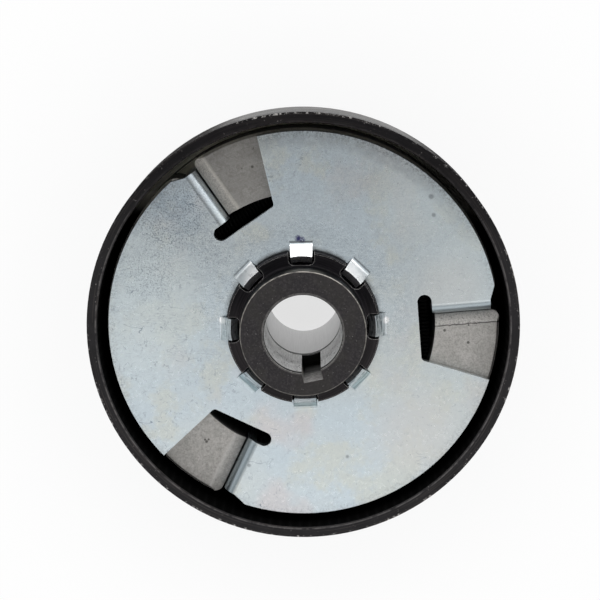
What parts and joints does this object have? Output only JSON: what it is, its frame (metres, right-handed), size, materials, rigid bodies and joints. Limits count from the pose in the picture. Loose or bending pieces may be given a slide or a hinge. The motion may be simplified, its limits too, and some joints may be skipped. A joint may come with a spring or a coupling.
{
  "type": "centrifugal clutch",
  "caption": "Centrifugal clutch for a small engine: keyed hub and pressed plate drive sintered shoes outwards into a black drum with a chain sprocket behind it.",
  "frame": {"origin": "on the clutch axis at the sprocket's rear end face", "axes": "+Z along the clutch axis from the sprocket towards the hub's nose, +X to the right of the picture, +Y up in the picture"},
  "size_m": [0.106, 0.106, 0.052],
  "materials": {
    "hub": "black oxide on machined steel, worn bright at the edges and in the bore",
    "drive_plate": "pressed steel sheet, pale bluish zinc plating",
    "thrust_washer": "dark oiled steel",
    "shoe": "sintered iron, warm matt grey",
    "spring_pin": "plain steel",
    "shoe_spring": "dark oiled spring wire",
    "drum": "black oxide on pressed steel, worn at the rim",
    "sprocket": "dark machined steel",
    "bushing": "steel-backed plain bearing with a bright grey bore"
  },
  "bodies": {
    "driver": {"hub": "hub", "drive_plate": "drive_plate", "thrust_washer": "thrust_washer", "shoe_spring_1": "shoe_spring", "shoe_spring_2": "shoe_spring", "shoe_spring_3": "shoe_spring"},
    "shoe_1": {"shoe_1": "shoe", "spring_pin_1": "spring_pin", "spring_pin_6": "spring_pin"},
    "shoe_2": {"shoe_2": "shoe", "spring_pin_2": "spring_pin", "spring_pin_3": "spring_pin"},
    "shoe_3": {"shoe_3": "shoe", "spring_pin_4": "spring_pin", "spring_pin_5": "spring_pin"},
    "driven": {"drum": "drum", "sprocket": "sprocket", "bushing": "bushing"}
  },
  "joints": [
    {"name": "drum_spin", "type": "hinge", "parent": "driver", "child": "driven", "pos_m": [0, 0, 0.015], "axis": [0, 0, 1], "continuous": true},
    {"name": "shoe_1_slide", "type": "slide", "parent": "driver", "child": "shoe_1", "axis": [0.5934, -0.8049, 0], "range_m": [0, 0.0017], "stiffness_N_per_m": 4000, "springref_m": -0.003, "deforming": ["shoe_spring_1", "shoe_spring_3"]},
    {"name": "shoe_2_slide", "type": "slide", "parent": "driver", "child": "shoe_2", "axis": [0.4003, 0.9164, 0], "range_m": [0, 0.0017], "stiffness_N_per_m": 4000, "springref_m": -0.003, "deforming": ["shoe_spring_1", "shoe_spring_2"]},
    {"name": "shoe_3_slide", "type": "slide", "parent": "driver", "child": "shoe_3", "axis": [-0.9938, -0.1115, 0], "range_m": [0, 0.0017], "stiffness_N_per_m": 4000, "springref_m": -0.003, "deforming": ["shoe_spring_2", "shoe_spring_3"]}
  ]
}
